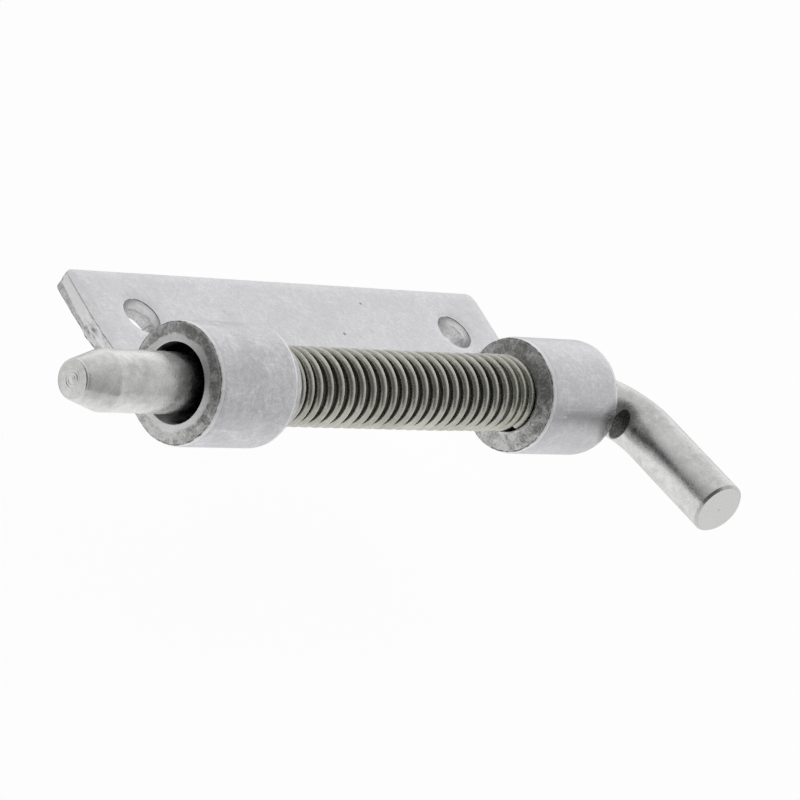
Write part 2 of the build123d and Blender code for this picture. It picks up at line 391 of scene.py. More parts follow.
def makeSheetZinc():
    # zinc skin, then the cut edges, then painted shade deep inside the knuckles, and the dark oval spot
    # beside the handle with a painted dark reflection round it
    material, tree = emptyMaterial("sheetZinc")
    position = objectPosition(tree)
    torn, cut, dark, fresh, edgeAway = [markValue(tree, name)
                                        for name in ("torn", "cut", "dark", "fresh", "edgeAway")]
    lean = markValue(tree, "lean", "Vector")
    skin, burrAndShadeLine, scuffs, patches, specks, grain = sheetSkin(tree, position, fresh, edgeAway)
    cutLook, tears = cutFace(tree, torn, fresh, lean)
    colour = blend(tree, cut, skin, cutLook)
    # the burr, and the painted shade line on one side of the holes' front corners
    colour = blend(tree, burrAndShadeLine, colour, sheetFinish["burrAndShadeLine"])
    # painted shade deep inside the knuckles, and the dark nick
    colour = blend(tree, dark, colour, sheetFinish["deepShade"])
    # painted dark reflection of the oval spot on the knuckle round it, then the spot itself
    darkReflection = darkOvalSpot(tree, position, darkOval["onKnuckle"], **darkOval["darkReflection"])
    darkReflection = times(tree, darkReflection, remap(tree, grain, *sheetFinish["ranges"]["darkReflection"]))
    spot = calc(tree, "MAXIMUM", darkReflection, darkOvalSpot(tree, position, darkOval["onKnuckle"]))
    colour = blend(tree, spot, colour, sheetFinish["darkSpot"])

    rough = remap(tree, patches, *mostOfNoise, *sheetFinish["roughness"])
    rough = plus(tree, rough, times(tree, torn, sheetFinish["tornRoughness"]), True)
    high = sheetFinish["heights"]
    tornHeight = times(tree, tears, times(tree, torn, high["torn"]))
    heights = plus(tree, times(tree, grain, high["grain"]), plus(tree, specks, tornHeight))
    heights = plus(tree, heights, times(tree, scuffs, high["scuffs"]))
    # a torn edge is made of small scales that lean the way the tear ran
    facing = addNode(tree, "ShaderNodeNewGeometry").outputs["Normal"]
    facing = vectorCalc(tree, "NORMALIZE", vectorCalc(tree, "ADD", facing, lean))
    finishSurface(tree, colour, 1.0, rough, bump(tree, heights, sheetFinish["bumpDepth"], facing))
    return material


rodFinish = {
    "pale": (0.84, 0.84, 0.825, 1),
    "dull": (0.62, 0.62, 0.61, 1),
    "frost": (0.93, 0.93, 0.92, 1),
    "stain": (0.42, 0.41, 0.38, 1),
    "darkSpot": (0.075, 0.075, 0.07, 1),        # the dark oval spot at the inside of the bend
    "darkSpotPaler": (0.20, 0.20, 0.19, 1),
    "springShade": (0.10, 0.10, 0.093, 1),      # painted shade on the rod under the spring
    "rubbed": (0.93, 0.93, 0.92, 1),        # the handle's end face and the rim of the nose's
    "roughness": (0.22, 0.34),
    "spotRoughness": 0.2,        # added on the bare spot
    "rubbedMetallic": 0.2,       # taken away where it is rubbed
    "noises": {                  # scale, detail, roughness, distortion
        "clouds": (170.0, 5.0, 0.65, 0.4),
        "specks": (900.0, 4.0, 0.7, 0.5),
        "grain": (4200.0, 2.0, 0.6),
    },
    "speckShare": 0.55,
    "drawn": ((140, 2400, 2400), (1.0, 3.0, 0.6)),       # lines along the rod: stretch, then the noise
    "scratches": ((0.3, 0.9, 0.5), (240, 3200, 1900), 0.64, 0.72),
    "ranges": {                  # of one value or of two, from none of the mark to all of it
        "pale": (0.40, 0.60),
        "frost": (0.58, 0.72, 0.0, 0.7),
        "scratches": (0.45, 0.6),
        "stains": ((0.42, 0.30), (0.45, 0.65)),
        "flecks": ((0.60, 0.70), (0.45, 0.55)),
        "darkSpotPaler": (0.44, 0.66),
    },
    "strength": {"scratches": 0.6, "stains": 0.3, "flecks": 0.7},
    "heights": {"grain": 0.6, "specks": 1.2, "drawn": 0.5},
    "bumpDepth": 0.000026,
}


def makeRodZinc():
    # drawn rod under zinc: pale and dull clouds, scratches, stains and flecks, the dark oval spot, worn ends,
    # painted shade under the spring and a darker handle
    material, tree = emptyMaterial("rodZinc")
    position = objectPosition(tree)
    ranges, strength, high = [rodFinish[key] for key in ("ranges", "strength", "heights")]
    clouds, specks, grain = noises(tree, position, rodFinish["noises"])
    mix = mixed(tree, clouds, specks, rodFinish["speckShare"])
    colour = blend(tree, remap(tree, mix, *ranges["pale"]), rodFinish["dull"], rodFinish["pale"])
    colour = blend(tree, remap(tree, specks, *ranges["frost"]), colour, rodFinish["frost"])
    scratches = lines(tree, position, *rodFinish["scratches"])
    scratches = times(tree, scratches, remap(tree, clouds, *ranges["scratches"]))
    colour = blend(tree, times(tree, scratches, strength["scratches"]), colour, rodFinish["frost"])
    stains = overlap(tree, clouds, grain, ranges["stains"])
    colour = blend(tree, times(tree, stains, strength["stains"]), colour, rodFinish["stain"])
    flecks = overlap(tree, grain, clouds, ranges["flecks"])
    colour = blend(tree, times(tree, flecks, strength["flecks"]), colour, rodFinish["frost"])
    spot = darkOvalSpot(tree, position, darkOval["onHandle"])
    darkSpotLook = blend(tree, remap(tree, grain, *ranges["darkSpotPaler"]), rodFinish["darkSpot"], rodFinish["darkSpotPaler"])
    colour = blend(tree, spot, colour, darkSpotLook)
    rubbed = markValue(tree, "rubbed")
    colour = blend(tree, rubbed, colour, rodFinish["rubbed"])
    # painted shade on the rod under the spring, and a slightly darker handle
    colour = blend(tree, markValue(tree, "springShadeAndDarkerHandle"), colour, rodFinish["springShade"])

    rough = remap(tree, specks, *mostOfNoise, *rodFinish["roughness"])
    rough = plus(tree, rough, times(tree, spot, rodFinish["spotRoughness"]), True)
    metallic = calc(tree, "SUBTRACT", 1.0, times(tree, rubbed, rodFinish["rubbedMetallic"]))
    stretch, values = rodFinish["drawn"]
    drawn = noise(tree, stretched(tree, position, stretch), *values)
    heights = plus(tree, times(tree, grain, high["grain"]), times(tree, specks, high["specks"]))
    heights = plus(tree, heights, times(tree, drawn, high["drawn"]))
    finishSurface(tree, colour, metallic, rough, bump(tree, heights, rodFinish["bumpDepth"]))
    return material


wireFinish = {
    "pale": (0.66, 0.655, 0.59, 1),
    "dull": (0.47, 0.465, 0.41, 1),
    "worn": (0.84, 0.84, 0.78, 1),
    "coilShade": (0.15, 0.145, 0.12, 1),        # painted shade on the inside of the coils
    "metallic": 0.85,
    "roughness": (0.22, 0.33),
    "noises": {                  # scale, detail, roughness
        "clouds": (260.0, 3.0, 0.6),
        "specks": (2200.0, 3.0, 0.65),
    },
    "wornRange": (0.52, 0.72, 0.0, 0.6),    # of the specks
    "bumpDepth": 0.000015,
}


def makeSpringWire():
    # olive wire with worn specks, with painted shade on the coils' inside
    material, tree = emptyMaterial("springWire")
    clouds, specks = noises(tree, objectPosition(tree), wireFinish["noises"])
    colour = blend(tree, remap(tree, clouds, *mostOfNoise), wireFinish["dull"], wireFinish["pale"])
    colour = blend(tree, remap(tree, specks, *wireFinish["wornRange"]), colour, wireFinish["worn"])
    # painted shade: the coils' inside is darker, where the rod and the next turns shade it
    colour = blend(tree, markValue(tree, "inner"), colour, wireFinish["coilShade"])
    rough = remap(tree, specks, *mostOfNoise, *wireFinish["roughness"])
    finishSurface(tree, colour, wireFinish["metallic"], rough, bump(tree, specks, wireFinish["bumpDepth"]))
    return material


nylonFinish = {
    "deep": (0.010, 0.010, 0.010, 1),
    "worn": (0.022, 0.022, 0.021, 1),
    "roughness": (0.42, 0.6),
    "specks": (2400.0, 3.0, 0.6),           # scale, detail, roughness
    "bumpDepth": 0.00001,
}


def makeNylon():
    # black, slightly speckled
    material, tree = emptyMaterial("blackNylon")
    specks = noise(tree, objectPosition(tree), *nylonFinish["specks"])
    colour = blend(tree, remap(tree, specks, *mostOfNoise), nylonFinish["deep"], nylonFinish["worn"])
    rough = remap(tree, specks, *mostOfNoise, *nylonFinish["roughness"])
    finishSurface(tree, colour, 0.0, rough, bump(tree, specks, nylonFinish["bumpDepth"]))
    return material


sheetZinc, rodZinc, springWire, blackNylon = makeSheetZinc(), makeRodZinc(), makeSpringWire(), makeNylon()
print("materials made")


# Leaf

leaf = {
    "halfLength": 41.0,
    "sheet": 3.0,
    "freeEdge": 7.6,             # Y of the free edge
    "flat": 9.8,                 # free edge to the set line
    "setAngle": 1.221,           # degrees
    "setHalf": 1.2,              # half the width of the bend at the set line
    "slope": 14.176,             # set line to the start of the roll
    "rollRadius": 8.1,           # outside of the knuckle
    "rollSweep": 305.12,         # degrees
    "gapHalf": 25.8,             # half of the gap between the knuckles
    "gapStart": 14.1,            # free edge to the gap, along the sheet
    "cornerFree": 1.5,
    "cornerGap": 1.5,
    "cornerRoll": 0.7,
    "holeX": 31.8,
    "holeAlong": 7.6,            # free edge to the holes' centres
    "holeRadius": 2.9,
    "edgeStep": 0.3,             # spacing of points round the outline
    "curveSteps": 14001,
    "netMargin": 1.8,            # the outline to the skins' even grid, whose spacings come next
    "netSpacing": (0.8, 0.42),
    "netClear": 1.65,            # least distance of the grid from an edge or a hole
    "borderRows": (0.27, 0.54, 0.85),    # rows of points inside each border
    "rowClear": 0.5,             # their least distance from an edge or a hole
    # shape of the cut edges; where three numbers stand they are for the outline and the two holes
    "cornerSteps": 6,
    "bandSteps": 5,
    "tornSteps": 12,
    "inset": (0.6, 0.3, 0.3),    # outline and holes to the border of the skin
    "rollIn": (0.16, 0.10, 0.10),    # rounding of the front corner
    "dieRoll": 0.17,             # how far the front bends down towards a cut
    "dieRollReach": (-0.1, 1.5),     # distances from the cut between which that fades
    "tearBack": (0.28, -0.68, -0.74),    # how far the torn part falls back, or stands out below 0
    "wholeTearBack": 0.05,       # the same where the back corner isn't worn
    "backCorner": (0.34, 0.10, 0.10),    # depth at which the back corner starts
    "rimFall": (0.13, 0.0, 0.0),     # how far the back is drawn in along its edges
    "rimWidth": (0.4, 1.3),      # where that ends, from the outline
    "endWear": {                 # how much less the back corner is worn at the leaf's two ends
        "less": 0.95, "beginning": (0.2, 1.4), "ending": (9.3, 10.1), "ends": (38.0, 40.0),
    },
    "endSpread": {               # how far the flat's ends spread when the blank was cut
        "left": 0.42, "right": 0.28, "ending": (9.5, 14.0), "ends": (39.5, 41.0),
    },
    "pressedEnd": (0.6, 1.4),    # reach of the end beside the spring, from the gap's corner
    "shearedShare": 0.39,        # smooth part of a cut edge, next to the front
    "holeShearedShare": 0.52,
    "rightShearedShare": 0.10,   # the same at the right knuckle's end beside the spring
    "leftShearedShare": 0.60,    # the same at the leaf's left end
    "rollNear": 3.0,             # the flat's look ends this far before the roll
    # unevenness of the cut edges, from three waves: each one's length in cells along the cut,
    # its cells per mm of depth and its seed
    "waveCell": 0.5,
    "waves": ((6, 0.5, 11), (2, 1.2, 31), (1, 3.0, 21)),
    "wander": (0.18, 0.10, 0.11),    # how far each wave shifts the border of the torn part
    "flatWander": 0.24,          # more of the first one on the flat
    "borderHalf": 0.10,          # half the width of that border
    "tornWaves": (0.7, 0.6, 0.8),    # each wave's share in a torn face
    "tornRough": (0.07, 0.06, 0.06),
    "jagged": (0.5, 1.0),        # shares of the second and third waves in the worn back corner
    "jaggedBy": 0.09,
    "jaggedDepth": ((0.17, 0.40), (0.9, 1.4)),   # where that begins and where it ends
    "leftNear": 0.1,             # an outline's point this near the left edge belongs to it
    "rumpled": (9.6, 2.1),       # place and half width of the crushed part of the left edge
    "crushed": (0.12, 0.28, 0.16),   # its depth, and what the second and third waves add
    "crushedFront": 0.75,        # share of it that is left at the front corner, down to the depth below
    "crushedFrontDepth": (0.1, 0.6),
    "crushedProud": 0.15,        # how far it may stand out
    "pressedDepth": (1.5, 2.6),  # depths between which the end beside the spring is pressed flat
    "pressedCorner": 0.7,        # how much sharper its front corner is
    # marks for the material
    "cutFrom": (0.12, 0.3),      # depth under the front at which a cut's look begins
    "patternApart": 9.0,         # keeps the patterns of the outline and the two holes apart
    "scaleLean": (0.55, 0.46),   # lean of the scales on the knuckles' ends: torn, sheared
    "leanFrom": (-1.0, 1.5),     # where that begins, from the roll's start
    "holeLean": 0.34,            # the same where a hole's wall falls back
    "tornKept": {"crushed": 0.3, "left": 0.7, "holes": 0.45},    # how torn those places still look
    "shadedHoleSide": (0.90, -0.43),   # side of the holes whose front corner gets a painted shade line, in X and along the sheet
    "shadedHoleSoft": 0.5,
    "nick": {                    # dark nick in the left corner: X, along and depth
        "place": (-40.95, 0.62, 2.5), "radius": 0.26, "edge": (0.7, 1.4),
    },
    "deepShade": ((5.6, 7.4), (2.0, 5.0)),    # reach of the painted shade inside the knuckles: from the knuckle's middle along X, and from the roll's start
    "rolledDull": 0.5,           # loss of freshness on the right knuckle, and twice that on the left one
    "rolledHalf": 2.0,           # half the width over which it is lost, about the roll's start
}


def sheetCurve(rollStart, total):
    # the back's curve by adding up short steps along a heading that is level on the flat,
    # tilts by the set angle round the set line and then turns evenly round the knuckle
    along = np.linspace(0.0, total, leaf["curveSteps"])
    setShare = ease(along, leaf["flat"] - leaf["setHalf"], leaf["flat"] + leaf["setHalf"])
    tilt = np.radians(leaf["setAngle"]) * setShare
    heading = np.pi - tilt - np.maximum(along - rollStart, 0.0) / leaf["rollRadius"]
    step = np.diff(along)
    middle = (heading[1:] + heading[:-1]) / 2
    y = leaf["freeEdge"] + np.concatenate(([0.0], np.cumsum(np.cos(middle) * step)))
    z = np.concatenate(([0.0], np.cumsum(np.sin(middle) * step)))
    return along, y, z, heading


rollStart = leaf["flat"] + leaf["slope"]
sheetLength = rollStart + np.radians(leaf["rollSweep"]) * leaf["rollRadius"]
curve = sheetCurve(rollStart, sheetLength)


def wrapSheet(x, along, depth):
    # a blank's point to space: along the back's curve, then by its depth square to it
    y, z, heading = [np.interp(along, curve[0], values) for values in curve[1:]]
    return np.stack((x, y + depth * np.sin(heading), z - depth * np.cos(heading)), axis=1)


def roundedLoop(corners, step):
    # a closed loop of straight runs and corner arcs, walked in even steps;
    # gives each point, its outward direction, its distance along the loop and the loop's length
    ends = []
    for i, (*corner, radius) in enumerate(corners):
        ways = [np.array(other[:2]) - corner for other in (corners[i - 1], corners[(i + 1) % len(corners)])]
        before, after = [way / np.hypot(*way) for way in ways]
        ends.append((corner + before * radius, corner + after * radius, before, after, radius))
    points, outs = [], []
    for (start, end, before, after, radius), following in zip(ends, ends[1:] + ends[:1]):
        turn = before[0] * after[1] - before[1] * after[0]      # above 0 at an inner corner
        steps = max(3, int(np.ceil(radius * np.pi / 2 / step)))
        share = np.linspace(0, np.pi / 2, steps + 1)[:, None]
        spoke = -after * np.cos(share) - before * np.sin(share)
        points.append(start + after * radius + spoke * radius)
        outs.append(spoke * (1.0 if turn < 0 else -1.0))
        run = following[0] - end
        steps = int(np.hypot(*run) / step)
        points.append(end + run * (np.arange(1, steps) / steps)[:, None])
        way = run / np.hypot(*run)
        outs.append(np.tile([way[1], -way[0]], (steps - 1, 1)))
    points, outs = np.concatenate(points), np.concatenate(outs)
    gaps = np.hypot(*(np.roll(points, -1, axis=0) - points).T)
    return points, outs, np.concatenate(([0.0], np.cumsum(gaps[:-1]))), gaps.sum()


def leafLoops():
    # outline and screw holes of the blank, in X and distance from the free edge
    half, gap, start = leaf["halfLength"], leaf["gapHalf"], leaf["gapStart"]
    free, roll, inner = leaf["cornerFree"], leaf["cornerRoll"], leaf["cornerGap"]
    outline = [(-half, 0, free), (half, 0, free), (half, sheetLength, roll), (gap, sheetLength, roll),
               (gap, start, inner), (-gap, start, inner),
               (-gap, sheetLength, roll), (-half, sheetLength, roll)]
    loops = [roundedLoop(outline, leaf["edgeStep"])]
    radius = leaf["holeRadius"]
    for x in (-leaf["holeX"], leaf["holeX"]):
        steps = int(fullTurn * radius / leaf["edgeStep"])
        angle = -np.arange(steps) * fullTurn / steps
        spoke = np.stack((np.cos(angle), np.sin(angle)), axis=1)
        centre = np.array([x, leaf["holeAlong"]])
        loops.append((centre + spoke * radius, -spoke, -angle * radius, fullTurn * radius))
    return loops


def insideBlank(x, along):
    # distances to the nearest edge of the blank and to the nearest hole: above 0 inside, below 0 outside
    edge = np.minimum(leaf["halfLength"] - np.abs(x), np.minimum(along, sheetLength - along))
    edge = np.minimum(edge, np.maximum(np.abs(x) - leaf["gapHalf"], leaf["gapStart"] - along))
    hole = np.hypot(np.abs(x) - leaf["holeX"], along - leaf["holeAlong"]) - leaf["holeRadius"]
    return edge, hole


def insideLoop(points, loop):
    # counts how many of the loop's sides a line from each point crosses: an odd count is inside
    start, end = loop, np.roll(loop, -1, axis=0)
    x, y = points[:, :1], points[:, 1:]
    spans = (start[:, 1] > y) != (end[:, 1] > y)
    rise = np.where(end[:, 1] == start[:, 1], 1.0, end[:, 1] - start[:, 1])
    crossing = start[:, 0] + (y - start[:, 1]) * (end[:, 0] - start[:, 0]) / rise
    return (spans & (x < crossing)).sum(axis=1) % 2 == 1


def onRoll(along):
    # 0 on the flat and 1 on the roll, changing shortly before the roll
    return ease(along, rollStart - leaf["rollNear"], rollStart)


def tornShare(x, along):
    # 1 where a cut's back corner is worn away, less along the leaf's two ends
    wear = leaf["endWear"]
    beside = ease(along, *wear["beginning"]) * (1 - ease(along, *wear["ending"]))
    return 1 - wear["less"] * beside * ease(np.abs(x), *wear["ends"])


def besideSpring(x, along):
    # 1 at the end of the right knuckle that the spring presses on, 0 elsewhere
    return onRoll(along) * (1 - ease(np.abs(x - leaf["gapHalf"]), *leaf["pressedEnd"]))


def endSpread(x, along):
    # how far the flat's two ends stand out, in mm: all of it by the free edge, none at the knuckles
    spread = leaf["endSpread"]
    reach = np.where(x < 0, spread["left"], spread["right"])
    return reach * ease(np.abs(x), *spread["ends"]) * (1 - ease(along, *spread["ending"]))


def dieRoll(away):
    # how far the front lies under its own level, by the distance from the cut
    return leaf["dieRoll"] * (1 - ease(away, *leaf["dieRollReach"]))


def edgeProfile(tearBack, inset, rollIn, corner, rimFall):
    # a sheared edge from the front skin round to the back one, as inset and depth:
    # a rounded front corner, a smooth band, a torn band that falls back, a dulled back corner
    quarter = np.linspace(0, np.pi / 2, leaf["cornerSteps"])
    sheet, bandSteps = leaf["sheet"], leaf["bandSteps"]
    split = sheet * (1 - leaf["shearedShare"])
    frontInset = rollIn * (1 - np.sin(quarter))
    front = np.stack((frontInset, sheet - dieRoll(frontInset) - rollIn * (1 - np.cos(quarter))), axis=1)
    bandDepth = np.linspace(front[-1, 1], split, bandSteps + 1)[1:]
    band = np.stack((np.zeros(bandSteps), bandDepth), axis=1)
    torn = np.linspace(0, 1, leaf["tornSteps"] + 1)[1:, None] * [tearBack, corner - split] + [0, split]
    back = np.stack((tearBack + (inset - tearBack) * (1 - np.cos(quarter[1:])),
                     rimFall + (corner - rimFall) * (1 - np.sin(quarter[1:]))), axis=1)
    return np.concatenate(([[inset, sheet]], front, band, torn, back))


def skinNet(loops):
    # one flat net of triangles inside the outline and round the holes, over the borders' points,
    # a few rows beside them and an even grid; gives its points, where each border starts and the triangles
    half, margin = leaf["halfLength"] - leaf["netMargin"], leaf["netMargin"]
    spare = 0.1          # lets a grid reach its last line
    xs, alongs = np.meshgrid(np.arange(-half, half + spare, leaf["netSpacing"][0]),
                             np.arange(margin, sheetLength - margin + spare, leaf["netSpacing"][1]),
                             indexing="ij")
    grid = np.stack((xs.ravel(), alongs.ravel()), axis=1)
    grid = grid[np.minimum(*insideBlank(*grid.T)) > leaf["netClear"]]
    borders, rows = [], []
    for (points, outs, _, _), inset in zip(loops, leaf["inset"]):
        borders.append(points - outs * inset)
        # every other point of each row, by turns
        rows += [(points - outs * (inset + more))[number % 2::2]
                 for number, more in enumerate(leaf["borderRows"])]
    rows = np.concatenate(rows)
    rows = rows[np.minimum(*insideBlank(*rows.T)) > leaf["rowClear"]]
    flat = np.concatenate(borders + [rows, grid])
    starts = np.cumsum([0] + [len(border) for border in borders])
    numbers = [np.arange(start, end) for start, end in zip(starts, starts[1:])]
    edges = np.concatenate([np.stack((ring, np.roll(ring, -1)), axis=1) for ring in numbers])
    _, _, triangles, sources, _, _ = delaunay_2d_cdt(flat.tolist(), edges.tolist(), [], 0, 1e-6, True)
    triangles = np.array([source[0] for source in sources])[np.array(triangles)]

    # only triangles whose corners all lie on the borders can be outside the blank
    onBorder = np.flatnonzero((triangles < starts[-1]).all(axis=1))
    middle = flat[triangles[onBorder]].mean(axis=1)
    inside = insideLoop(middle, borders[0])
    for hole in borders[1:]:
        inside &= ~insideLoop(middle, hole)
    triangles = np.delete(triangles, onBorder[~inside], axis=0)
    (firstX, firstY), (secondX, secondY), (thirdX, thirdY) = flat[triangles].transpose(1, 2, 0)
    clockwise = (secondX - firstX) * (thirdY - firstY) - (secondY - firstY) * (thirdX - firstX) < 0
    triangles[clockwise] = triangles[clockwise][:, ::-1]
    return flat, starts, triangles


def cutWaves(walked, length, depth, number):
    # soft noises along a cut and down it, from coarse to fine
    waves = []
    for cellLength, perDepth, seed in leaf["waves"]:
        cells = int(length / leaf["waveCell"]) // cellLength
        waves.append(softNoise(walked[:, None] / length * cells, depth * perDepth, cells, seed + number))
    return waves


def cutShape(number, loop):
    # the edge profile carried round one loop, with a wandering border between its two bands, a rough torn
    # band, a crushed place in the left edge and a flatter end beside the spring; gives each point's X,
    # distance along the sheet and depth, how torn it is, its inset before all that, and how far it
    # belongs to the flat, the left end and the crushed place
    loopPoints, outs, walked, length = loop
    x, along = loopPoints[:, :1], loopPoints[:, 1:]
    onOutline = number == 0
    sizes = [leaf[key][number] for key in ("inset", "rollIn", "backCorner")]
    worn = edgeProfile(leaf["tearBack"][number], *sizes, leaf["rimFall"][number])[1:-1]
    whole = edgeProfile(leaf["wholeTearBack"], *sizes, 0.0)[1:-1]
    share = tornShare(x, along)
    profile = whole + (worn - whole) * share[..., None]
    inset, depth = profile[..., 0], profile[..., 1]
    column = np.arange(depth.shape[1])
    coarse, middling, fine = cutWaves(walked, length, depth, number)
    flatPart = 1 - onRoll(along)
    pressed = besideSpring(x, along)
    onLeft = x < leaf["leftNear"] - leaf["halfLength"]
    leftEnd = onLeft * flatPart
    rumple = onLeft * np.exp(-((along - leaf["rumpled"][0]) / leaf["rumpled"][1]) ** 2)

    depth = depth + pressed * dieRoll(inset) * ease(depth, *leaf["pressedDepth"])
    inset = inset * np.where(column < leaf["cornerSteps"], 1 - leaf["pressedCorner"] * pressed, 1.0)
    sheared = (leaf["shearedShare"] + (leaf["rightShearedShare"] - leaf["shearedShare"]) * pressed
               + (leaf["leftShearedShare"] - leaf["shearedShare"]) * leftEnd)
    sheared = sheared if onOutline else leaf["holeShearedShare"]
    coarseWander, middlingWander, fineWander = leaf["wander"]
    wander = ((coarseWander + leaf["flatWander"] * flatPart) * coarse + middlingWander * middling
              + fineWander * fine)
    border = leaf["sheet"] * (1 - sheared) + wander[:, :1]
    torn = 1 - ease(depth, border - leaf["borderHalf"], border + leaf["borderHalf"])
    coarseShare, middlingShare, fineShare = leaf["tornWaves"]
    uneven = coarseShare * coarse + middlingShare * middling + fineShare * fine
    inset = inset + torn * leaf["tornRough"][number] * uneven
    crushed, crushedMiddling, crushedFine = leaf["crushed"]
    crushed = crushed + crushedMiddling * middling + crushedFine * fine
    below = ease(leaf["sheet"] - depth, *leaf["crushedFrontDepth"])
    inset = inset + rumple * crushed * (leaf["crushedFront"] + (1 - leaf["crushedFront"]) * below)
    inset = np.maximum(inset, -leaf["crushedProud"] * rumple) if onOutline else inset
    inset = inset - endSpread(x, along)
    jaggedFrom, jaggedTo = leaf["jaggedDepth"]
    jagged = ease(depth, *jaggedFrom) * (1 - ease(depth, *jaggedTo))
    middlingShare, fineShare = leaf["jagged"]
    depth = depth + leaf["jaggedBy"] * (middlingShare * middling + fineShare * fine) * jagged * share
    x, along = x - outs[:, :1] * inset, along - outs[:, 1:] * inset
    return x, along, depth, torn, profile[..., 0], flatPart, leftEnd, rumple


def cutMarks(number, loop, shape):
    # the numbers that the material reads on one loop's edge: how torn, cut, grimy, dark and fresh it is,
    # the lean of its scales and its place along and down the cut
    outs, walked = loop[1], loop[2]
    x, along, depth, torn, plainInset, flatPart, leftEnd, rumple = shape
    corner, blank = leaf["cornerSteps"], 0 * depth
    onOutline = number == 0
    column = np.arange(depth.shape[1])
    onBack = column > depth.shape[1] - corner
    cut = ease(leaf["sheet"] - depth, *leaf["cutFrom"]) * ~onBack

    heading = np.interp(along, curve[0], curve[3])
    tornLean, shearedLean = leaf["scaleLean"]
    lean = cut * (shearedLean + torn * (tornLean - shearedLean))
    lean = lean * ease(along - rollStart, *leaf["leanFrom"]) * np.abs(outs[:, :1])
    tornFrom = leaf["sheet"] * (1 - leaf["shearedShare"])        # depth at which a cut's wall falls back
    half = leaf["borderHalf"]
    fallingBack = 1 - ease(depth, tornFrom - half, tornFrom + half)
    lean = lean if onOutline else fallingBack * leaf["holeLean"]

    kept = leaf["tornKept"]
    tornKept = (1 - (1 - kept["crushed"]) * rumple) * (1 - (1 - kept["left"]) * leftEnd)
    tornKept = tornKept if onOutline else kept["holes"]
    edgeAway = np.where(onBack, plainInset - plainInset[:, -corner:1 - corner], farAway)
    # painted shade line on one side of each hole's front corner
    holeShade = (number > 0) * ease(-outs @ leaf["shadedHoleSide"], 0.0, leaf["shadedHoleSoft"])[:, None]
    edgeAway[:, :corner - 1] = farAway - farAway * holeShade
    nickX, nickAlong, nickDepth = leaf["nick"]["place"]
    nickAway = np.sqrt((x - nickX) ** 2 + (along - nickAlong) ** 2 + (depth - nickDepth) ** 2)
    return {
        "torn": torn * tornKept,
        "cut": cut,
        "edgeAway": edgeAway,
        "dark": 1 - ease(nickAway / leaf["nick"]["radius"], *leaf["nick"]["edge"]),
        "fresh": flatPart + blank,
        "lean": np.stack((blank, -lean * np.sin(heading), lean * np.cos(heading)), axis=2),
        "edgeWay": np.stack((walked[:, None] + blank, depth, blank + leaf["patternApart"] * number), axis=2),
    }


def skinMarks(x, along, edgeNear):
    # the same numbers on the front skin and then on the back one
    # painted shade deep inside the knuckles, fading towards their ends
    mouth = np.abs(np.abs(x) - (leaf["halfLength"] + leaf["gapHalf"]) / 2)
    aside, onward = leaf["deepShade"]
    deep = (1 - ease(mouth, *aside)) * ease(along - rollStart, *onward)
    blank = np.zeros(len(x))
    half = leaf["rolledHalf"]
    fresh = 1 - leaf["rolledDull"] * ease(along - rollStart, -half, half) * (1 + (x < 0))
    vectors = np.zeros((2 * len(x), 3))
    return {"torn": [blank, blank], "cut": [blank, blank], "edgeAway": [blank + farAway, edgeNear],
            "dark": [deep, blank], "fresh": [fresh, fresh], "lean": [vectors], "edgeWay": [vectors]}


def makeLeaf():
    # the skins are one flat net of triangles, wrapped twice, at the front's depth and at the back's;
    # the edge profile is carried round each loop between them
    loops = leafLoops()
    flat, starts, triangles = skinNet(loops)
    x, along = flat.T
    count = len(flat)
    edgeNear, holeNear = insideBlank(x, along)
    nearEdge = np.minimum(edgeNear, holeNear)
    rimFall = leaf["rimFall"][0] * (1 - ease(edgeNear, *leaf["rimWidth"]))
    rimFall[:starts[1]] = leaf["rimFall"][0]
    rimFall = rimFall * tornShare(x, along)
    front = wrapSheet(x, along, leaf["sheet"] - dieRoll(nearEdge) * (1 - besideSpring(x, along)))
    back = wrapSheet(x, along, rimFall)
    points, faces = [front, back], [triangles[:, ::-1], triangles + count]
    marks = skinMarks(x, along, edgeNear)
    total = 2 * count
    for number, loop in enumerate(loops):
        shape = cutShape(number, loop)
        points.append(wrapSheet(*[values.ravel() for values in shape[:3]]))
        for name, values in cutMarks(number, loop, shape).items():
            marks[name].append(values.reshape(-1, *values.shape[2:]))
        size, columns = shape[2].shape
        ring = np.arange(size)
        following = (ring + 1) % size
        skinRing, skinFollowing = starts[number] + ring, starts[number] + following
        last = total + columns - 1
        frontJoin = (skinRing, skinFollowing, total + following * columns, total + ring * columns)
        backJoin = (last + ring * columns, last + following * columns,
                    count + skinFollowing, count + skinRing)
        faces += [gridFaces(size, columns, loopRows=True)[:, ::-1] + total,
                  np.stack(frontJoin, axis=1), np.stack(backJoin, axis=1)]
        total += size * columns
    marks = {name: np.concatenate(parts) for name, parts in marks.items()}
    points = np.concatenate(points)
    return addPiece("leafSheet", points, faces, "leaf_body", "leaf", sheetZinc, marks)


makeLeaf()


# Bolt

